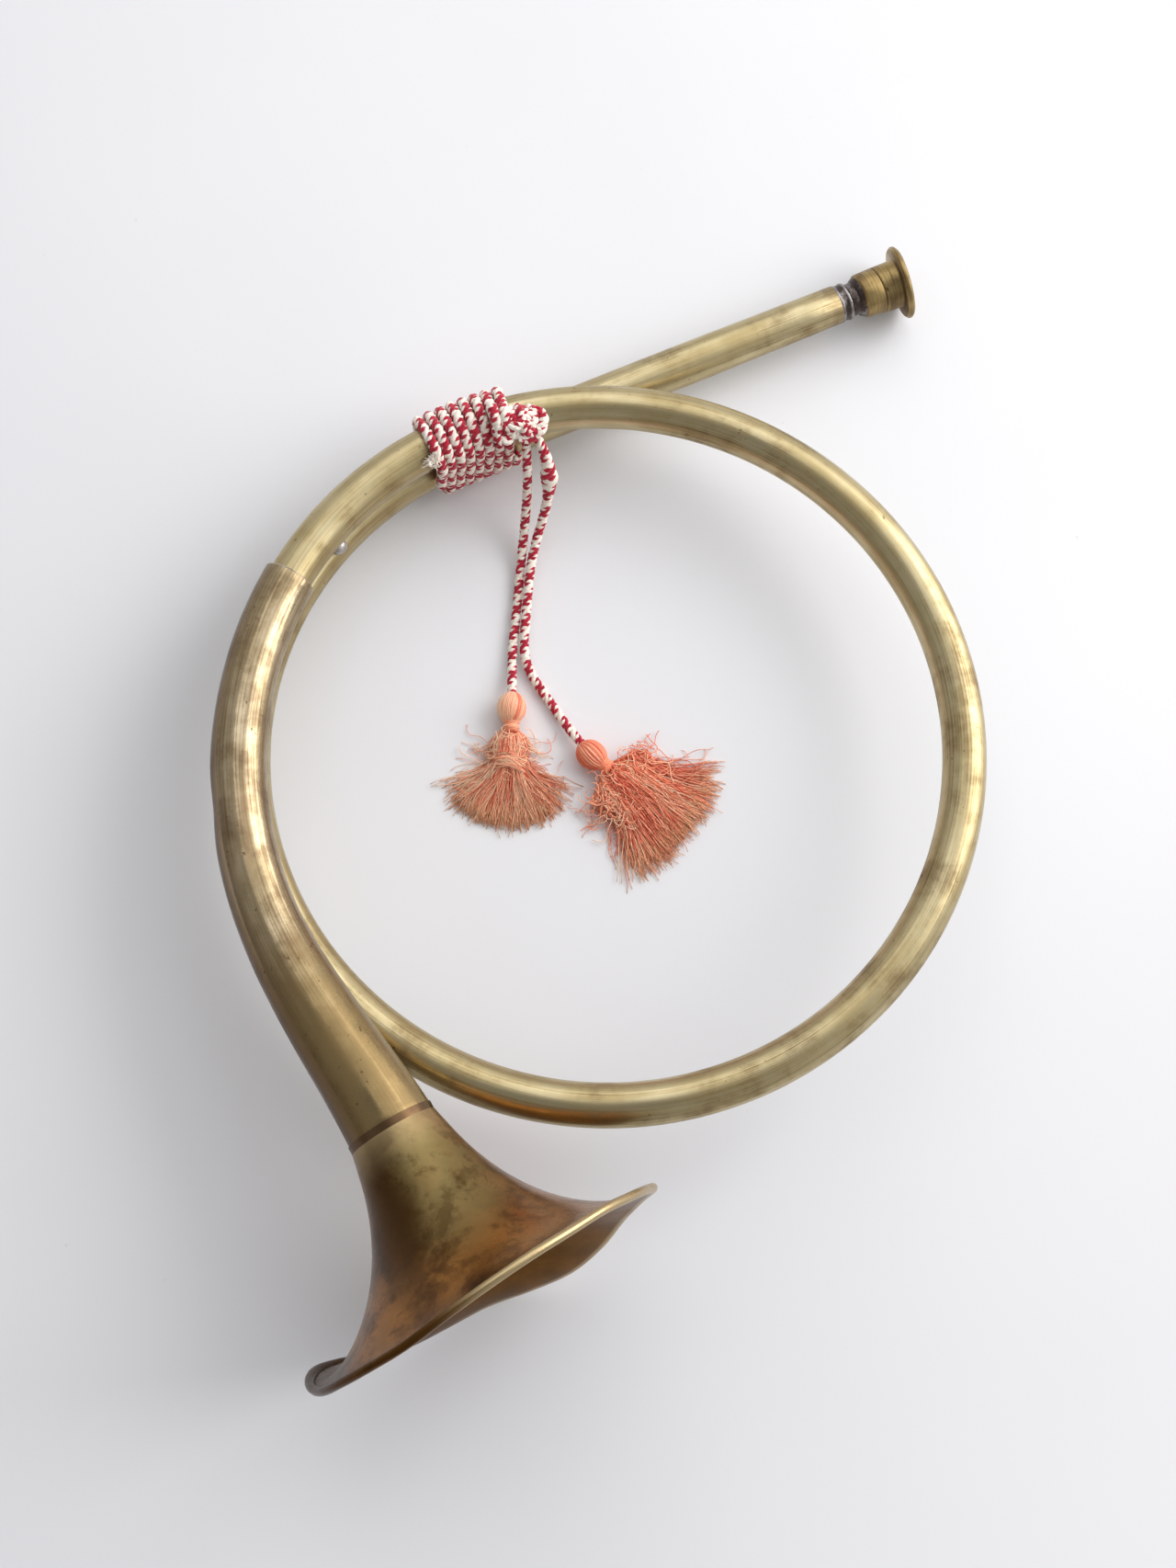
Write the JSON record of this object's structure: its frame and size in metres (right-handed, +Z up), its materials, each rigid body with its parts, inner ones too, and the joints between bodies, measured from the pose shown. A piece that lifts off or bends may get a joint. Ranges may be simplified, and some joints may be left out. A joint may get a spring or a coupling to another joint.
{
  "type": "coiled hunting bugle",
  "caption": "Round valveless brass horn with one coil, a long mouthpipe, a flared rolled-rim bell and a wrapped cord with two tassels.",
  "frame": {"origin": "on the surface that the horn lies on, below the middle of the horn's box (the free cords and tassels not counted)", "axes": "+Z up, +Y along the horn from the bell to the mouthpiece, +X to the mouthpiece's side"},
  "size_m": [0.2796, 0.4278, 0.1308],
  "materials": {
    "coil_brass": "satin, tarnished olive-gold",
    "stem_brass": "polished in patches, pinkish-brown tarnish",
    "bell_brass": "brown patina with dark and olive patches",
    "mouthpiece_brass": "turned, tarnished",
    "solder": "dull grey solder",
    "neck_metal": "dark oxidised solder over a turned neck",
    "wire": "drawn",
    "twisted_cord": "white and crimson twisted cord",
    "tassel_silk": "salmon silk thread",
    "mould_wood": "plain turned bead"
  },
  "bodies": {
    "horn": {"coil_tube": "coil_brass", "mouthpipe": "coil_brass", "bell_stem": "stem_brass", "stem_solder": "solder", "coil_solder_tack": "solder", "bell_flare": "bell_brass", "bell_braze_seam": "stem_brass", "bell_rim_wire": "wire", "receiver_collar": "solder", "cord_wrap": "twisted_cord", "cord_knot": "twisted_cord", "cord_strand_left": "twisted_cord", "cord_strand_right": "twisted_cord", "tassel_left_head": "tassel_silk", "tassel_left_mould": "mould_wood", "tassel_left_binding": "tassel_silk", "tassel_left_skirt": "tassel_silk", "tassel_right_head": "tassel_silk", "tassel_right_mould": "mould_wood", "tassel_right_binding": "tassel_silk", "tassel_right_skirt": "tassel_silk"},
    "mouthpiece": {"mouthpiece_shank": "neck_metal", "mouthpiece_neck_solder": "neck_metal", "mouthpiece_cup": "mouthpiece_brass", "mouthpiece_rim": "mouthpiece_brass"}
  },
  "joints": [
    {"name": "mouthpiece_pull", "type": "slide", "parent": "horn", "child": "mouthpiece", "axis": [0.9211, 0.3894, 0.0081], "range_m": [0, 0.03]}
  ]
}
